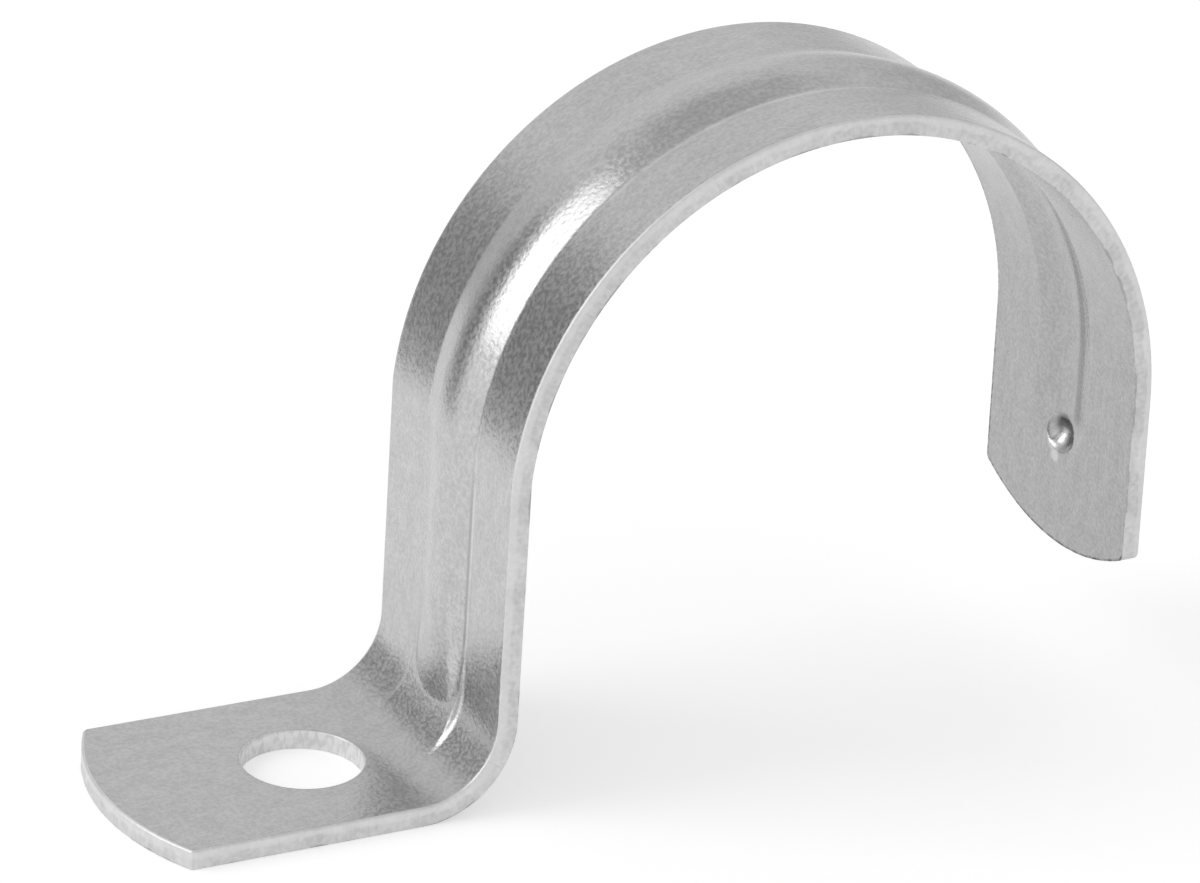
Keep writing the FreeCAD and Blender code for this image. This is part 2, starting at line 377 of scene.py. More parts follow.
def rib_profile(y, half, crest_half):
    """Height over the sheet of a rib of this half width, at a distance y from its middle."""
    if y >= crest_half:
        return max(0.0, (half - y) * math.tan(RIB_FLANK))
    crest_r = crest_half / math.sin(RIB_FLANK)
    tangent_height = (half - crest_half) * math.tan(RIB_FLANK)
    return tangent_height + math.sqrt(crest_r**2 - y**2) - crest_r * math.cos(RIB_FLANK)


GROOVE_HALF = RIB_HALF - SHEET_T * math.tan(RIB_FLANK / 2)
GROOVE_CREST_HALF = RIB_CREST_HALF - SHEET_T * math.sin(RIB_FLANK)
print("rib height", round(rib_profile(0, RIB_HALF, RIB_CREST_HALF) / MM, 3), "mm")

# %% [markdown]
# At the foot the rib hands over to a low pad with crisp sides, which carries on round the bend and
# fades. The pad's height is drawn as a smooth line through a few listed stations: three above the bend,
# the rest by how far round it they lie. It rises out of the sheet above the bend and is back at the
# sheet's surface before the foot is flat.

# %% The foot pad
PAD_SIDE = math.tan(math.radians(32))      # slope of its sides
PAD_RISES = [(4.0, -0.03), (2.0, 0.08), (0.0, 0.18)]                      # mm above the bend, mm high
PAD_TURNS = [(14, 0.25), (28, 0.24), (40, 0.14), (52, 0.05), (64, 0.0)]   # degrees round it, mm high
PAD = [(START["leg"] + rise * MM, height * MM) for rise, height in PAD_RISES]
PAD += [(START["leg"] - FOLD_R * math.radians(turn), height * MM) for turn, height in PAD_TURNS]
BELOW_SHEET = -1.0         # a height that never shows


def pad_height(s):
    """The pad's height, a smooth curve through its stations."""
    if not PAD[-1][0] < s < PAD[0][0]:
        return BELOW_SHEET
    for k in range(len(PAD) - 1):
        (s0, h0), (s1, h1) = PAD[k], PAD[k + 1]
        if s0 >= s >= s1:
            before = PAD[max(k - 1, 0)]
            after = PAD[min(k + 2, len(PAD) - 1)]
            m0 = (h1 - before[1]) / (s1 - before[0]) * (s1 - s0)
            m1 = (after[1] - h0) / (after[0] - s0) * (s1 - s0)
            t = (s - s0) / (s1 - s0)
            return ((2 * t**3 - 3 * t**2 + 1) * h0 + (t**3 - 2 * t**2 + t) * m0
                    + (3 * t**2 - 2 * t**3) * h1 + (t**3 - t**2) * m1)


print("pad is", round(max(height for _, height in PAD) / MM, 2), "mm high at most")

# %% [markdown]
# Along the strip the rib changes. On the free leg it ends in a round nose. Over the last few millimetres
# above the foot bend its section grows boxy: the crest widens and the flanks close up. Then it runs
# straight down while the sheet bends away, so its height shrinks to nothing within the bend.

# %% The rib along the strip
BOXY_HALF = 2.35 * MM      # where the crest ends once the section is fully boxy
BOXY_RUN = 4.0 * MM        # how far above the bend that change starts
RIB_LAST_TURN = math.radians(40)  # no rib is left this far round the bend


def rib_height(s, y, half, crest_half, face_r):
    """Rib or groove over its own face. face_r is that face's radius in the foot bend."""
    y = abs(y)
    if s > NOSE_S:
        return rib_profile(math.hypot(s - NOSE_S, y), half, crest_half)
    boxy = min(1.0, max(0.0, (START["leg"] + BOXY_RUN - s) / BOXY_RUN))
    boxy *= boxy * (3 - 2 * boxy)
    edge = crest_half + boxy * (BOXY_HALF - RIB_CREST_HALF)
    if y < edge:
        y *= crest_half / edge
    else:
        y = half - (half - y) * (half - crest_half) / (half - edge)
    h = rib_profile(y, half, crest_half)
    if s >= START["leg"]:
        return h
    angle = (START["leg"] - s) / FOLD_R
    if angle > RIB_LAST_TURN:
        return 0.0
    return max(0.0, face_r - (face_r - h) / math.cos(angle))


for s in (START["leg"] + BOXY_RUN, START["leg"]):
    flank = rib_height(s, BOXY_HALF, RIB_HALF, RIB_CREST_HALF, BEND_R)
    print("flank's height", round(s / MM, 1), "mm along:", round(flank / MM, 3), "mm")

# %% [markdown]
# A punch mark closes the rib on the free leg. It is part of a ball, a little wider than it is long, and
# on the outer face the same ball is larger by the sheet's thickness. Where rib, pad and punch mark run
# into each other, the sheet can't crease sharply, so the corner between two heights is rounded.

# %% Punch mark and both faces
DIMPLE_R = 1.65 * MM
DIMPLE_DEPTH = 1.0 * MM
DIMPLE_SQUAT = 1.28        # the mark is this much wider than it is long
BALL_R = (DIMPLE_R**2 + DIMPLE_DEPTH**2) / (2 * DIMPLE_DEPTH)
PAD_BLEND, DIMPLE_BLEND = 0.10 * MM, 0.20 * MM


def dimple_height(s, y, grow):
    """Height of the punch mark. grow is 0 on the conduit side and the sheet's thickness outside."""
    reach = math.hypot((s - DIMPLE_S) * DIMPLE_SQUAT, y)
    ball = BALL_R + grow
    if reach >= ball:
        return 0.0
    return max(0.0, math.sqrt(ball**2 - reach**2) + DIMPLE_DEPTH - BALL_R - grow)


def soft_max(a, b, blend):
    """The larger of two heights, with the corner where they cross rounded by a blend."""
    near = max(0.0, blend - abs(a - b)) / blend * min(1.0, max(0.0, min(a, b)) / blend)
    return max(a, b) + near * near * blend / 4


def outer_relief(s, y):
    pad = min(pad_height(s), (PAD_HALF - abs(y)) * PAD_SIDE)
    rib = rib_height(s, y, RIB_HALF, RIB_CREST_HALF, BEND_R)
    return max(0.0, soft_max(soft_max(pad, rib, PAD_BLEND), dimple_height(s, y, SHEET_T), DIMPLE_BLEND))


def inner_relief(s, y):
    groove = rib_height(s, y, GROOVE_HALF, GROOVE_CREST_HALF, FOLD_R)
    return max(groove, dimple_height(s, y, 0.0))


print("punch mark is", round(inner_relief(DIMPLE_S, 0) / MM, 2), "mm deep")

# %% [markdown]
# Pressing moves both faces the same way, outwards. Each point's share of the deepest press goes into a
# vertex group, as weight painting would put it there, and one Displace modifier along z lifts them all.

# %% Press the rib
PRESS = 1.2 * MM           # the deepest press, which a weight of 1 stands for
PRESS_HALF = 4.2 * MM      # nothing is pressed further out than this
LEAST_LIFT = 1e-8

press = strip.vertex_groups.new(name="press")
pressed = 0
for i, co in enumerate(flat):
    if abs(co.y) > PRESS_HALF or co.x < START["bend"]:
        continue
    lift = outer_relief(co.x, co.y) if co.z > SHEET_T / 2 else inner_relief(co.x, co.y)
    if lift > LEAST_LIFT:
        press.add([i], lift / PRESS, "REPLACE")
        pressed += 1
apply_modifier(strip, "DISPLACE", direction="Z", mid_level=0.0, strength=PRESS, vertex_group="press")
print("points pressed:", pressed)

# %% [markdown]
# The path that the strip is folded along is a flat Bezier curve. A straight run is two points. A bend
# is a chain of short arcs, each with handles of the length that makes a Bezier follow a circle.

# %% Knots of the folding path
ARC_STEP = math.radians(22.5)


def folding_path():
    """The conduit-side path in the plane of the strap's side view. Each knot has its point, its
    heading, and the lengths of the handle that arrives and the one that leaves."""
    point, heading = Vector((LOW.x, 0.0)), 0.0
    knots = [(point.copy(), heading, 0.0)]
    for _, length, turn in RUNS:
        parts = max(1, math.ceil(abs(turn) / ARC_STEP))
        for _ in range(parts):
            bend = turn / parts
            piece_length = length / parts
            if bend:
                radius = piece_length / abs(bend)
                handle = 4 / 3 * math.tan(abs(bend) / 4) * radius
                side = Vector((-math.sin(heading), math.cos(heading))) * math.copysign(radius, bend)
                centre = point + side
                point = centre + Matrix.Rotation(bend, 2) @ (point - centre)
            else:
                handle = piece_length / 3
                point = point + Vector((math.cos(heading), math.sin(heading))) * piece_length
            heading += bend
            knots[-1] += (handle,)
            knots.append((point.copy(), heading, handle))
    return knots


knots = folding_path()
print(len(knots), "knots, and the path ends at", [round(v / MM, 2) for v in knots[-1][0]])

# %% [markdown]
# The knots become a curve. It needs many steps per arc, because the strip follows the steps exactly.

# %% Draw the folding path
path_curve = bpy.data.curves.new("folding_path", "CURVE")
path_curve.dimensions = "2D"
path_curve.resolution_u = 32
spline = path_curve.splines.new("BEZIER")
spline.bezier_points.add(len(knots) - 1)
for bezier, knot in zip(spline.bezier_points, knots):
    point, heading, arriving = knot[:3]
    leaving = knot[3] if len(knot) > 3 else arriving  # the last knot has only one
    ahead = Vector((math.cos(heading), math.sin(heading), 0))
    bezier.handle_left_type = bezier.handle_right_type = "FREE"
    bezier.co = point.to_3d()
    bezier.handle_left = point.to_3d() - ahead * (arriving or leaving)
    bezier.handle_right = point.to_3d() + ahead * leaving
path = bpy.data.objects.new("folding_path", path_curve)
bpy.context.scene.collection.objects.link(path)
print("path is", round(spline.calc_length() / MM, 2), "mm long")

# %% [markdown]
# A flat curve bends what lies in its own plane, so the blank is first tipped on its side, folded with
# the Curve modifier, and tipped back. The path has done its work then and is removed. Shading is smooth
# round the bends and stays crisp at the cut edges.

# %% Fold the strip
SMOOTH_UP_TO = math.radians(40)
strip.data.transform(Matrix.Rotation(-math.pi / 2, 4, "X"))
apply_modifier(strip, "CURVE", object=path, deform_axis="POS_X")
strip.data.transform(Matrix.Rotation(math.pi / 2, 4, "X"))
bpy.data.objects.remove(path)
deselect_all()
strip.select_set(True)
bpy.context.view_layer.objects.active = strip
bpy.ops.object.shade_smooth_by_angle(angle=SMOOTH_UP_TO)
strip.data.update()
box = [Vector(corner) / MM for corner in strip.bound_box]
print("folded box", [round(min(p[k] for p in box), 2) for k in range(3)],
      [round(max(p[k] for p in box), 2) for k in range(3)])
print("triangles", sum(len(p.vertices) - 2 for p in strip.data.polygons))
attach(strip, "root")
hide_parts("strap")

# %% [markdown]
# The finish needs light to be judged, so the camera, lights and floor come before the metal.
#
# The camera stands left of the strap, a little above it, with a long lens. Its small roll is part of
# the view.

# %% Camera
VIEW_AZIMUTH = math.radians(-28.62)
VIEW_ELEVATION = math.radians(24.43)
VIEW_ROLL = math.radians(3.685)
VIEW_DISTANCE = 374.2 * MM
VIEW_TARGET = Vector((20.13 * MM, 0, 20.5 * MM))
VIEW_LENS = 175.4

back = Vector((
    math.sin(VIEW_AZIMUTH) * math.cos(VIEW_ELEVATION),
    -math.cos(VIEW_AZIMUTH) * math.cos(VIEW_ELEVATION),
    math.sin(VIEW_ELEVATION),
))
camera = bpy.data.objects.new("camera", bpy.data.cameras.new("camera"))
bpy.context.scene.collection.objects.link(camera)
camera.data.lens = VIEW_LENS
camera.data.clip_start = 0.01
upright = (-back).to_track_quat("-Z", "Y").to_matrix().to_4x4()
camera.matrix_world = (
    Matrix.Translation(VIEW_TARGET + back * VIEW_DISTANCE) @ upright @ Matrix.Rotation(VIEW_ROLL, 4, "Z")
)
bpy.context.scene.camera = camera
print("camera at", [round(v / MM, 1) for v in camera.matrix_world.translation])

# %% [markdown]
# Every finish below is a small tree of nodes, with the same few steps in all of them. A number that never
# changes is set on its own socket, and only what varies is linked. Masks run from 0 to 1, and where
# several have to hold at once they are multiplied.

# %% Material helpers
def new_material(name):
    """A material with an empty tree."""
    material = bpy.data.materials.new(name)
    material.use_nodes = True
    material.node_tree.nodes.clear()
    return material, material.node_tree


def feed(tree, socket, value):
    """Set a number on a socket, as a grey on a colour socket, or link an output to it."""
    if isinstance(value, (int, float)):
        socket.default_value = (value, value, value, 1) if socket.type == "RGBA" else value
    else:
        tree.links.new(value, socket)


def calc(tree, operation, *values):
    """A Math node on up to three values."""
    node = tree.nodes.new("ShaderNodeMath")
    node.operation = operation
    for socket, value in zip(node.inputs, values):
        feed(tree, socket, value)
    return node.outputs[0]


def product(tree, first, *others):
    """Several masks that have to hold at once."""
    for other in others:
        first = calc(tree, "MULTIPLY", first, other)
    return first


def weighted_sum(tree, *pairs):
    """Each value times its weight, added up."""
    total = 0.0
    for value, weight in reversed(pairs):
        total = calc(tree, "MULTIPLY_ADD", value, weight, total)
    return total


def vector_calc(tree, operation, place, constant):
    """A place set against a constant vector."""
    node = tree.nodes.new("ShaderNodeVectorMath")
    node.operation = operation
    node.inputs[1].default_value = constant
    tree.links.new(place, node.inputs[0])
    return node.outputs["Value" if operation in ("DISTANCE", "DOT_PRODUCT") else "Vector"]


def ramp_value(tree, value, low, high, to_low=0.0, to_high=1.0, soft=True):
    """A value stretched from one range to another. low may be the larger one."""
    node = tree.nodes.new("ShaderNodeMapRange")
    node.interpolation_type = "SMOOTHSTEP" if soft else "LINEAR"
    node.inputs["From Min"].default_value, node.inputs["From Max"].default_value = low, high
    node.inputs["To Min"].default_value, node.inputs["To Max"].default_value = to_low, to_high
    tree.links.new(value, node.inputs["Value"])
    return node.outputs[0]


def tint(tree, mask, first, second, blend="MIX"):
    """Two greys or colours mixed by a mask."""
    node = tree.nodes.new("ShaderNodeMix")
    node.data_type = "RGBA"
    node.blend_type = blend
    for label, value in (("Factor", mask), ("A", first), ("B", second)):
        feed(tree, node.inputs[label], value)
    return node.outputs["Result"]


# %% [markdown]
# The strap stands on a wide white floor. The floor's own diffuse white keeps the strap's soft shadow.
# A little glow is added for the rays that look at it (camera, glossy and transmission), so it reads as
# white paper without more light falling on the metal. From below the floor is clear, so that the
# underside can be inspected.

# %% Floor
FLOOR_RADIUS = 2.6         # metres, far past the view
FLOOR_GAP = 0.02 * MM      # under the foot, so that the two faces don't coincide
FLOOR_WHITE = 0.74
FLOOR_GLOW = 0.41

deselect_all()
bpy.ops.mesh.primitive_circle_add(
    vertices=96, radius=FLOOR_RADIUS, fill_type="NGON", location=(0, 0, -FLOOR_GAP))
floor = bpy.context.object
floor.name = "floor"
paper, tree = new_material("white_paper")
nodes, links = tree.nodes, tree.links
output = nodes.new("ShaderNodeOutputMaterial")
matt = nodes.new("ShaderNodeBsdfDiffuse")
feed(tree, matt.inputs["Color"], FLOOR_WHITE)
glow = nodes.new("ShaderNodeEmission")
rays = nodes.new("ShaderNodeLightPath")
looking = calc(tree, "MAXIMUM", rays.outputs["Is Camera Ray"], rays.outputs["Is Glossy Ray"])
looking = calc(tree, "MAXIMUM", looking, rays.outputs["Is Transmission Ray"])
links.new(calc(tree, "MULTIPLY", looking, FLOOR_GLOW), glow.inputs["Strength"])
lit = nodes.new("ShaderNodeAddShader")
links.new(matt.outputs[0], lit.inputs[0])
links.new(glow.outputs[0], lit.inputs[1])
below = nodes.new("ShaderNodeNewGeometry")
clear = nodes.new("ShaderNodeBsdfTransparent")
side = nodes.new("ShaderNodeMixShader")
links.new(below.outputs["Backfacing"], side.inputs[0])
links.new(lit.outputs[0], side.inputs[1])
links.new(clear.outputs[0], side.inputs[2])
links.new(side.outputs[0], output.inputs["Surface"])
floor.data.materials.append(paper)
print("floor radius", FLOOR_RADIUS, "m, white", FLOOR_WHITE, "glow", FLOOR_GLOW)

# %% [markdown]
# Bare metal shows its surroundings, so most of its look is the room. The world is a plain studio: pale
# near the horizon and a softer grey overhead. Directions come from the world's Generated coordinates,
# whose z is the sine of the height above the horizon. One side of the room is a little dimmer, so that
# the arch gets darker as it turns away from the lamp.

# %% Studio room
ROOM_GREYS = [(0.0, 0.84), (0.60, 0.86), (0.86, 0.60), (1.0, 0.52)]    # sine of the height, grey
DIM_SIDE = (0.9, 0.436, 0.0)
DIM_FROM, DIM_FULL = 0.72, 0.95       # cosine of the angle to the dimmer side
DIM_STRENGTH = 0.72

room = bpy.data.worlds.new("studio_room")
bpy.context.scene.world = room
room.use_nodes = True
tree = room.node_tree
nodes, links = tree.nodes, tree.links
nodes.clear()
output = nodes.new("ShaderNodeOutputWorld")
walls = nodes.new("ShaderNodeBackground")
direction = nodes.new("ShaderNodeTexCoord").outputs["Generated"]
split = nodes.new("ShaderNodeSeparateXYZ")
links.new(direction, split.inputs[0])
by_height = nodes.new("ShaderNodeValToRGB")
by_height.color_ramp.interpolation = "EASE"
ramp = by_height.color_ramp.elements
while len(ramp) < len(ROOM_GREYS):
    ramp.new(0.5)
for element, (height, grey) in zip(ramp, ROOM_GREYS):
    element.position = height
    element.color = (grey, grey, grey, 1)
links.new(split.outputs["Z"], by_height.inputs["Fac"])
links.new(by_height.outputs["Color"], walls.inputs["Color"])
to_dim_side = vector_calc(tree, "DOT_PRODUCT", direction, DIM_SIDE)
links.new(ramp_value(tree, to_dim_side, DIM_FROM, DIM_FULL, 1.0, DIM_STRENGTH), walls.inputs["Strength"])
links.new(walls.outputs[0], output.inputs["Surface"])
print("room greys from the horizon up:", [grey for _, grey in ROOM_GREYS])

# %% [markdown]
# One large softbox on the left lights the foot and the leg, and gives the soft shadow to the right. Its
# energy is worked out from its area, so that its brightness can be stated beside the white of paper.

# %% Softbox
def towards(azimuth, elevation):
    """Unit vector for an azimuth from +Y towards +X and a height above the horizon, in degrees."""
    a, e = math.radians(azimuth), math.radians(elevation)
    return Vector((math.sin(a) * math.cos(e), math.cos(a) * math.cos(e), math.sin(e)))


def turned(away):
    """The turn that stands a flat thing upright with its axis along this direction."""
    return away.to_track_quat("Z", "Y").to_matrix().to_4x4()


BOX_WIDTH, BOX_HEIGHT, BOX_AWAY = 0.84, 1.32, 1.5      # metres
BOX_RADIANCE = 2.0         # 1 looks as bright as white paper
box_way = towards(-73, 32.5)

lamp = bpy.data.lights.new("softbox_left", "AREA")
lamp.shape = "RECTANGLE"
lamp.size, lamp.size_y = BOX_WIDTH, BOX_HEIGHT
lamp.energy = BOX_RADIANCE * math.pi * BOX_WIDTH * BOX_HEIGHT
softbox = bpy.data.objects.new("softbox_left", lamp)
bpy.context.scene.collection.objects.link(softbox)
softbox.matrix_world = Matrix.Translation(box_way * BOX_AWAY) @ turned(box_way)
print("softbox energy", round(lamp.energy, 2), "W")

# %% [markdown]
# Bright metal needs something dark to show, or its form can't be read, so grey cards stand round the
# strap. They have soft edges, and only glossy rays see them: they shade the reflections and leave the
# light on the floor alone.

# %% Grey card
CRISP = 0.001              # the share of its size over which a crisp edge fades


def grey_card(name, middle, turn, width, height, greys, fade):
    """A card whose grey runs from bottom to top, and whose left, right, bottom and top edges fade out
    over shares of its size."""
    deselect_all()
    bpy.ops.mesh.primitive_plane_add(size=1.0)
    card = bpy.context.object
    card.name = name
    card.matrix_world = Matrix.Translation(middle) @ turn @ Matrix.Diagonal((width, height, 1, 1))
    felt, tree = new_material(name + "_felt")
    nodes, links = tree.nodes, tree.links
    output = nodes.new("ShaderNodeOutputMaterial")
    glow = nodes.new("ShaderNodeEmission")
    clear = nodes.new("ShaderNodeBsdfTransparent")
    mixed = nodes.new("ShaderNodeMixShader")
    axes = nodes.new("ShaderNodeSeparateXYZ")
    links.new(nodes.new("ShaderNodeTexCoord").outputs["Object"], axes.inputs[0])
    links.new(ramp_value(tree, axes.outputs["Y"], -0.5, 0.5, *greys, soft=False), glow.inputs["Color"])
    covers = [
        ramp_value(tree, axes.outputs[axis], edge, edge - math.copysign(max(share, CRISP), edge))
        for axis, edge, share in zip("XXYY", (-0.5, 0.5, -0.5, 0.5), fade)
    ]
    links.new(product(tree, *covers), mixed.inputs[0])
    links.new(clear.outputs[0], mixed.inputs[1])
    links.new(glow.outputs[0], mixed.inputs[2])
    links.new(mixed.outputs[0], output.inputs["Surface"])
    card.data.materials.append(felt)
    card.visible_camera = card.visible_diffuse = card.visible_shadow = False
    return card


# %% [markdown]
# One card stands where the leg's outer face mirrors it, a paler one stands further round, and one lies
# on the floor at the first one's foot.

# %% Cards round the strap
LEG_FOOT = Vector((13 * MM, 0, 0))
NEAR_GAP, WIDE_GAP = 150 * MM, 172 * MM    # from the leg to the cards
UP = Vector((0, 0, 1))

near_way, wide_way = towards(-37.5, 0), towards(-12, 0)
near_foot = LEG_FOOT + near_way * NEAR_GAP
wide_foot = LEG_FOOT + wide_way * WIDE_GAP
standing = turned(near_way)
lying = standing @ Matrix.Rotation(-math.pi / 2, 4, "X")
cards = [
    grey_card("card_standing", near_foot + UP * 82 * MM, standing, width=0.115, height=0.164,
              greys=(0.21, 0.16), fade=(0.50, 0.40, 0.0, 0.52)),
    grey_card("card_wide", wide_foot + UP * 46 * MM, turned(wide_way), width=0.105, height=0.090,
              greys=(0.62, 0.62), fade=(0.35, 0.20, 0.10, 0.40)),
    grey_card("card_lying", near_foot - near_way * 26 * MM + UP * 0.2 * MM, lying, width=0.115,
              height=0.052, greys=(0.40, 0.22), fade=(0.40, 0.42, 0.55, 0.0)),
]
print("grey cards:", [card.name for card in cards])

# %% [markdown]
# Electro-plated zinc is a thin skin over rolled steel. Up close it is a fine grey speckle, a little
# uneven in tone, with faint lines along the strip from the rolling. The faces and the cut edges share
# that skin, so it is one node group that reads the flat blank and puts out heights and masks. The blank
# is measured in millimetres, so a noise of scale 3 has three grains to the millimetre.

# %% Zinc skin group
def group(name, inputs, outputs):
    """An empty node group with float inputs (name, default) and float outputs."""
    made = bpy.data.node_groups.new(name, "ShaderNodeTree")
    for label, value in inputs:
        socket = made.interface.new_socket(label, in_out="INPUT", socket_type="NodeSocketFloat")
        socket.default_value = value
    for label in outputs:
        made.interface.new_socket(label, in_out="OUTPUT", socket_type="NodeSocketFloat")
    return made, made.nodes.new("NodeGroupInput"), made.nodes.new("NodeGroupOutput")


def attribute(tree, name, output):
    """What each point remembers under this name."""
    node = tree.nodes.new("ShaderNodeAttribute")
    node.attribute_name = name
    return node.outputs[output]


def blank_noise(tree, stretch, scale, detail, roughness=0.5, offset=0.0):
    """Noise on the flat blank. stretch squeezes it along, across and through the sheet."""
    mapping = tree.nodes.new("ShaderNodeMapping")
    mapping.inputs["Scale"].default_value = stretch
    mapping.inputs["Location"].default_value = (offset, offset, offset)
    noise = tree.nodes.new("ShaderNodeTexNoise")
    noise.inputs["Detail"].default_value = detail
    noise.inputs["Roughness"].default_value = roughness
    feed(tree, noise.inputs["Scale"], scale)
    tree.links.new(attribute(tree, "blank", "Vector"), mapping.inputs["Vector"])
    tree.links.new(mapping.outputs[0], noise.inputs["Vector"])
    return noise.outputs["Fac"]


skin, skin_in, skin_out = group("zinc_skin", [("Grains per mm", 5.0), ("Clouds per mm", 0.8)],
                                ["Height", "Speckle", "Clouds", "Rolling"])
grains = blank_noise(skin, (1, 1, 1), skin_in.outputs["Grains per mm"], detail=1.6)
clouds = blank_noise(skin, (0.6, 1, 1), skin_in.outputs["Clouds per mm"], 4.0, 0.6, offset=31.0)
rolling = blank_noise(skin, (0.05, 1, 1), 3.2, 3.0, 0.6, offset=7.0)
height = weighted_sum(skin, (rolling, 0.04), (clouds, 0.5), (grains, 1.0))
skin.links.new(height, skin_out.inputs["Height"])
for label, noise in (("Speckle", grains), ("Clouds", clouds), ("Rolling", rolling)):
    skin.links.new(ramp_value(skin, noise, 0.30, 0.70), skin_out.inputs[label])
print("zinc skin puts out", [socket.name for socket in skin_out.inputs if socket.name])

# %% [markdown]
# Edges take the knocks. The wear group reads the distance to the nearest cut edge and puts out two
# masks: a rubbed line right at the edge, broken up by noise, and small dark nicks beside it.

# %% Edge wear group
wear, wear_in, wear_out = group("edge_wear", [("Reach mm", 0.35), ("Amount", 0.6)], ["Rubbed", "Nicks"])
share_of_reach = calc(wear, "DIVIDE", attribute(wear, "rim", "Fac"), wear_in.outputs["Reach mm"])
near_edge = ramp_value(wear, calc(wear, "SUBTRACT", 1.0, share_of_reach), 0.0, 0.9)
breakup = blank_noise(wear, (1, 1, 1), 2.6, 4.0, 0.65, offset=13.0)
pits = blank_noise(wear, (1, 1.6, 1), 2.2, 2.0, offset=57.0)
patches = blank_noise(wear, (0.12, 0.12, 0.12), 1.0, 1.0, offset=5.0)
rubbed = product(wear, near_edge, ramp_value(wear, breakup, 0.42, 0.62))
nicks = product(wear, near_edge, ramp_value(wear, pits, 0.60, 0.68),
                ramp_value(wear, patches, 0.48, 0.60))
for label, mask in (("Rubbed", rubbed), ("Nicks", nicks)):
    wear.links.new(product(wear, mask, wear_in.outputs["Amount"]), wear_out.inputs[label])


def use_group(tree, made, **values):
    """Put a group into a material with its inputs set. Returns its outputs."""
    node = tree.nodes.new("ShaderNodeGroup")
    node.node_tree = made
    for label, value in values.items():
        node.inputs[label.replace("_", " ")].default_value = value
    return node.outputs


print("edge wear puts out", [socket.name for socket in wear_out.inputs if socket.name])

# %% [markdown]
# The faces. Speckle, clouds and rolling lines move the plating between two greys. The conduit side is
# darkened by painted shade, for the shade inside the strap, and the height through the sheet tells the
# two sides apart.

# %% Face tone
ZINC_BRIGHT, ZINC_DULL = 0.600, 0.452
# painted shade for the inside of the strap
INSIDE_PAINTED_SHADE = 0.80         # the conduit side keeps this share of its brightness


def blank_axes(tree):
    """The place on the flat blank in millimetres, whole, and then along, across and through."""
    place = attribute(tree, "blank", "Vector")
    axes = tree.nodes.new("ShaderNodeSeparateXYZ")
    tree.links.new(place, axes.inputs[0])
    return place, *axes.outputs


face_zinc, tree = new_material("zinc_plated_face")
face_skin = use_group(tree, skin, Grains_per_mm=3.2, Clouds_per_mm=0.9)
face_wear = use_group(tree, wear, Reach_mm=0.30, Amount=0.55)
place, along, across, through = blank_axes(tree)
rim = attribute(tree, "rim", "Fac")
outside = ramp_value(tree, through, 0.2, 1.1)  # mm through the sheet
inside = calc(tree, "SUBTRACT", 1.0, outside)
shares = {"Speckle": 0.60, "Clouds": 0.34, "Rolling": 0.04}
tone = weighted_sum(tree, *((face_skin[label], share) for label, share in shares.items()))
plated = tint(tree, tone, ZINC_DULL, ZINC_BRIGHT)
# painted shade on the conduit side
plated = tint(tree, inside, plated, INSIDE_PAINTED_SHADE, "MULTIPLY")
print("plating from", ZINC_DULL, "to", ZINC_BRIGHT, "and inside", INSIDE_PAINTED_SHADE, "of that")

# %% [markdown]
# Light and shade along the rib are painted into the colour. Beside its near root lies a bright line of
# painted highlight, and in the root itself a thin dark line of painted shade that starts in the foot bend
# and fades up the leg. On the conduit side painted shade darkens the near half of the groove towards the
# punch mark and stops just short of it.

# %% Painted light and shade along the rib
ROOT_PAINTED_HIGHLIGHT, ROOT_PAINTED_SHADE, GROOVE_PAINTED_SHADE = 0.66, 0.40, 0.30
ROOT_HIGHLIGHT_LINE = (-3.68, 0.17, 0.05)     # mm across the strip: its middle, where it ends, where it is full
DARK_LINE = (-3.38, 0.20, 0.05)
GROOVE_LINE = (-1.45, 0.80, 0.30)
ROOT_STARTS = (START["leg"] - FOLD_R * math.radians(58)) / MM
DARK_ENDS = START["leg"] / MM + 17
GROOVE_STARTS = (START["free"] - SEAT_R * math.radians(50)) / MM
DIMPLE_MM = DIMPLE_S / MM


def line_mask(middle, gone, full):
    """A soft line along the strip."""
    return ramp_value(tree, calc(tree, "ABSOLUTE", calc(tree, "ADD", across, -middle)), gone, full)


patchy = ramp_value(tree, face_skin["Clouds"], 0.0, 0.7, 0.25, 0.75)
# painted highlight beside the rib's near root
mask = product(tree, line_mask(*ROOT_HIGHLIGHT_LINE), patchy, outside,
               ramp_value(tree, along, ROOT_STARTS, ROOT_STARTS + 1))
plated = tint(tree, mask, plated, ROOT_PAINTED_HIGHLIGHT)
# painted shade in the rib's near root
mask = product(tree, line_mask(*DARK_LINE), outside,
               ramp_value(tree, along, ROOT_STARTS, ROOT_STARTS + 3),
               ramp_value(tree, along, DARK_ENDS, DARK_ENDS - 5))
plated = tint(tree, mask, plated, ROOT_PAINTED_SHADE)
# painted shade in the groove's near half, on the conduit side
mask = product(tree, line_mask(*GROOVE_LINE), inside,
               ramp_value(tree, along, GROOVE_STARTS, GROOVE_STARTS + 12),
               ramp_value(tree, along, DIMPLE_MM - 0.8, DIMPLE_MM - 1.6))
plated = tint(tree, mask, plated, GROOVE_PAINTED_SHADE)
print("root lines from", round(ROOT_STARTS, 1), "and groove's", round(GROOVE_STARTS, 1), "mm along")

# %% [markdown]
# The conduit side of the free leg is in plain view, so small things show there. The shear left a burr,
# and a thin dark line of painted shadow runs beside it along the leg's end and its far edge. The punch
# mark has painted shade on its upper wall, a painted highlight on its lower lip, and a small painted
# highlight under it.

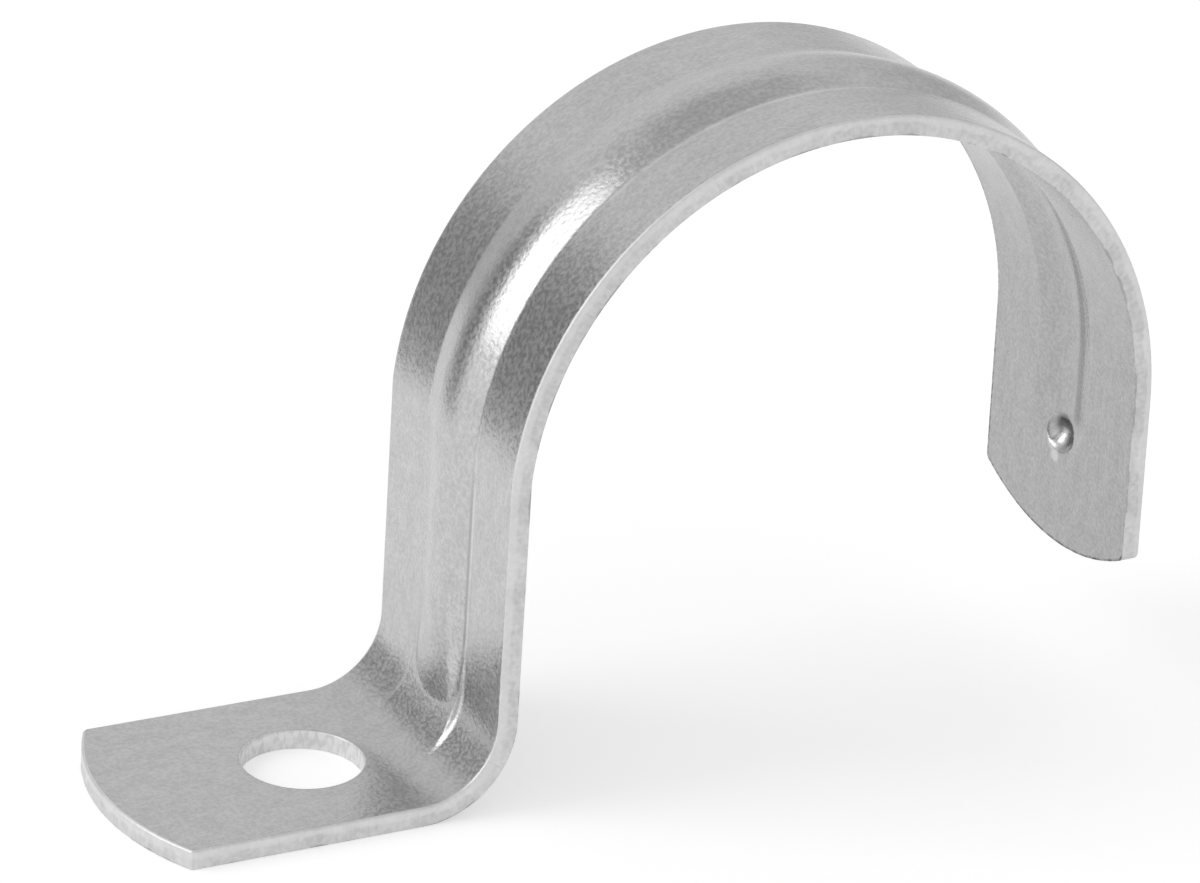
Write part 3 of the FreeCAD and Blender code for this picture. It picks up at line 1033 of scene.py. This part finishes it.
# %% Painted light and shade on the free leg
BURR_PAINTED_SHADOW = 0.15
PUNCH_LIGHT_AND_SHADE = [  # mm past the punch mark's middle and across it, where it ends, where it is full, grey
    (-0.05, 0.05, 1.35, 0.85, 0.13),     # upper wall, painted shade
    (0.75, 0.65, 0.95, 0.30, 0.70),      # lower lip, painted highlight
    (1.75, 0.30, 0.60, 0.30, 0.60),      # painted highlight under the lip, where a small nub catches light
]
LEG_STARTS, TIP_AT = START["free"] / MM, BLANK_LENGTH / MM

at_end = ramp_value(tree, along, TIP_AT - 3.2, TIP_AT - 2.2)
at_far_edge = product(tree, ramp_value(tree, across, 5.0, 7.0),
                      ramp_value(tree, along, LEG_STARTS, LEG_STARTS + 4))
# painted shadow of the burr along the leg's end and far edge
burr_shadow = product(tree, ramp_value(tree, rim, 0.20, 0.08), inside,
               calc(tree, "MAXIMUM", at_end, at_far_edge))
plated = tint(tree, burr_shadow, plated, BURR_PAINTED_SHADOW)
flat_place = vector_calc(tree, "MULTIPLY", place, (1, 1, 0))
# painted light and shade round the punch mark, on the conduit side
for past, off, gone, full, grey in PUNCH_LIGHT_AND_SHADE:
    from_mark = vector_calc(tree, "DISTANCE", flat_place, (DIMPLE_MM + past, off, 0))
    mark = product(tree, ramp_value(tree, from_mark, gone, full), inside)
    plated = tint(tree, mark, plated, grey)
print("punch mark", round(DIMPLE_MM, 2), "and tip", round(TIP_AT, 2), "mm along")

# %% [markdown]
# Last come the worn edges and the gloss. The speckle works mostly as a bump: it scatters the reflection,
# so it shows most where light and dark meet in the metal. In the foot bend the steel was stretched
# hardest, which opens its grain: the skin is rougher there and its relief stronger. Gloss is also lost
# over the last tenths of a millimetre before a cut edge.

# %% Face wear and gloss
BARE_RUBBED, NICK_DARK = 0.70, 0.20
FACE_ROUGHNESS = 0.23
MORE_IN_SPECKLE, MORE_STRETCHED, MORE_AT_RIM = 0.08, 0.06, 0.20
FACE_RELIEF = 0.025 * MM
PEEL, MORE_PEEL_STRETCHED = 0.70, 0.45     # share of that relief, and what stretching adds
STRETCH_FROM, STRETCH_TO = START["bend"] / MM, START["leg"] / MM + 2
STRETCH_FADE = 4


def metal_surface(tree, metallic, colour, roughness, height, relief_size):
    """Plated metal with its fine relief, wired to the material's output."""
    output = tree.nodes.new("ShaderNodeOutputMaterial")
    metal = tree.nodes.new("ShaderNodeBsdfPrincipled")
    metal.inputs["Metallic"].default_value = metallic
    relief = tree.nodes.new("ShaderNodeBump")
    relief.inputs["Distance"].default_value = relief_size
    tree.links.new(height, relief.inputs["Height"])
    tree.links.new(colour, metal.inputs["Base Color"])
    tree.links.new(roughness, metal.inputs["Roughness"])
    tree.links.new(relief.outputs["Normal"], metal.inputs["Normal"])
    tree.links.new(metal.outputs[0], output.inputs["Surface"])


plated = tint(tree, face_wear["Rubbed"], plated, BARE_RUBBED)
plated = tint(tree, face_wear["Nicks"], plated, NICK_DARK)
stretched = product(tree, ramp_value(tree, along, STRETCH_FROM - STRETCH_FADE, STRETCH_FROM),
                    ramp_value(tree, along, STRETCH_TO + STRETCH_FADE, STRETCH_TO))
roughness = calc(tree, "MULTIPLY_ADD", face_skin["Speckle"], MORE_IN_SPECKLE, FACE_ROUGHNESS)
roughness = calc(tree, "MULTIPLY_ADD", stretched, MORE_STRETCHED, roughness)
roughness = calc(tree, "ADD", roughness, ramp_value(tree, rim, 0.30, 0.12, 0.0, MORE_AT_RIM))
orange_peel = calc(tree, "MULTIPLY_ADD", stretched, MORE_PEEL_STRETCHED, PEEL)
metal_surface(tree, 1.0, plated, roughness, product(tree, face_skin["Height"], orange_peel), FACE_RELIEF)
print("steel stretched from", round(STRETCH_FROM, 1), "to", round(STRETCH_TO, 1), "mm along")

# %% [markdown]
# The cut edges. A sheared edge has a smooth burnished band where the blade slid in and a duller, torn
# band where the steel then broke, with fine lines straight through the sheet. The border between them
# wanders. Plated over, the cut is lighter and more matt than the faces. Along the lower rim a thin dark
# line of painted shadow stands for the shade under its burr.

# %% Cut-edge tone
# the last grey is both the painted shadow under the burr and the hole wall's drag streaks
EDGE_BURNISHED, EDGE_TORN, EDGE_SHADOW_AND_STREAK = 0.75, 0.54, 0.40

edge_zinc, tree = new_material("zinc_plated_cut_edge")
edge_skin = use_group(tree, skin, Grains_per_mm=2.6, Clouds_per_mm=0.7)
place, along, across, through = blank_axes(tree)
wander = calc(tree, "MULTIPLY_ADD", edge_skin["Clouds"], 0.30, through)
burnished = ramp_value(tree, wander, 0.80, 1.05)
shear_lines = blank_noise(tree, (1, 1, 0.12), 5.5, 2.0, 0.6, offset=3.0)
patchy = weighted_sum(tree, (edge_skin["Clouds"], 0.45), (edge_skin["Speckle"], 0.4),
                      (ramp_value(tree, shear_lines, 0.35, 0.65), 0.15))
cut = tint(tree, patchy, EDGE_TORN, EDGE_BURNISHED)
cut = tint(tree, product(tree, burnished, 0.5), cut, EDGE_BURNISHED)
# painted shadow under the burr along the lower rim
cut = tint(tree, ramp_value(tree, wander, 0.20, 0.08), cut, EDGE_SHADOW_AND_STREAK)
print("burnished", EDGE_BURNISHED, "torn", EDGE_TORN, "line", EDGE_SHADOW_AND_STREAK)

# %% [markdown]
# The hole's wall is lightened as a painted reflection of the bright surroundings it faces, with darker
# streaks where the punch dragged. Right under the outer face, where the blade pulled the metal down with
# it, every cut edge is a little more matt.

# %% Hole wall and edge gloss
BORE_PAINTED_REFLECTION = 0.88
EDGE_METALLIC = 0.6        # a rough cut also scatters light as a matt grey does
TORN_ROUGHNESS, BURNISHED_ROUGHNESS, MORE_UNDER_FACE = 0.46, 0.34, 0.14
EDGE_RELIEF = 0.018 * MM
HOLE_MIDDLE = (HOLE_S / MM, 0, SHEET_T / MM / 2)
WALL_AT = HOLE_R / MM

from_middle = vector_calc(tree, "DISTANCE", place, HOLE_MIDDLE)
in_bore = ramp_value(tree, from_middle, WALL_AT + 0.6, WALL_AT + 0.4)
# painted reflection: the hole's wall is lightened
cut = tint(tree, product(tree, in_bore, 0.6), cut, BORE_PAINTED_REFLECTION)
streaks = blank_noise(tree, (1, 1, 0.40), 3.4, 2.0, offset=9.0)
cut = tint(tree, product(tree, in_bore, ramp_value(tree, streaks, 0.44, 0.62, 0.0, 0.30)), cut, EDGE_SHADOW_AND_STREAK)
roughness = ramp_value(tree, burnished, 0.0, 1.0, TORN_ROUGHNESS, BURNISHED_ROUGHNESS)
roughness = calc(tree, "ADD", roughness, ramp_value(tree, through, 1.12, 1.26, 0.0, MORE_UNDER_FACE))
height = calc(tree, "MULTIPLY_ADD", shear_lines, 0.2, edge_skin["Height"])
metal_surface(tree, EDGE_METALLIC, cut, roughness, height, EDGE_RELIEF)
print("hole wall up to", round(WALL_AT + 0.4, 2), "mm from its middle")

# %% [markdown]
# The first finish is for the faces and the second for the cut, as the faces were numbered on the blank.

# %% Put the finishes on
strip.data.materials.append(face_zinc)
strip.data.materials.append(edge_zinc)
print("finishes:", [m.name for m in strip.data.materials])

# %% [markdown]
# Colours are shown as they are written.

# %% Finish
bpy.context.scene.view_settings.view_transform = "Standard"
